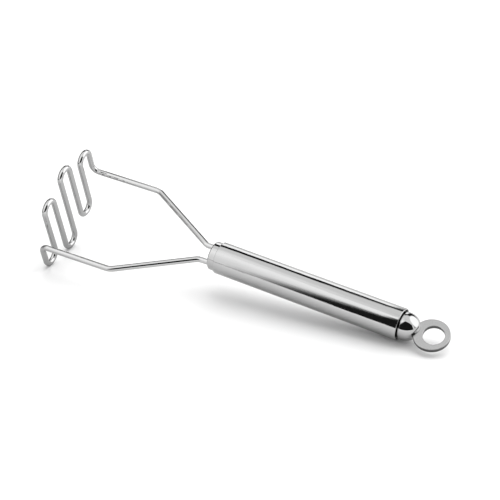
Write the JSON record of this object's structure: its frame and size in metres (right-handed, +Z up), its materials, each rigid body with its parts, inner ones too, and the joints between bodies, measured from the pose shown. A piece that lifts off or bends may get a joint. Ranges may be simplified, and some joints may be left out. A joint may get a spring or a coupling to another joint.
{
  "type": "wire potato masher",
  "caption": "Hand masher: a bent steel wire forms a zigzag mashing face and two arms, held in a round tubular handle with a domed cap and a flat hanging ring.",
  "frame": {"origin": "bottom centre of the bounding box, on the surface the masher lies on", "axes": "+X from the mashing face towards the hanging ring, +Z up from the surface; the masher lies on two lower bends of its face and the rear edge of its handle"},
  "size_m": [0.2656, 0.0666, 0.0637],
  "materials": {
    "polished_wire": "bright polished stainless wire",
    "polished_fittings": "polished stainless steel",
    "brushed_tube": "fine lengthwise brushing",
    "satin_ring": "satin stainless plate"
  },
  "bodies": {
    "root": {"masher_wire": "polished_wire", "front_plug": "polished_fittings", "handle_tube": "brushed_tube", "end_cap": "polished_fittings", "hanging_ring": "satin_ring"}
  },
  "joints": []
}
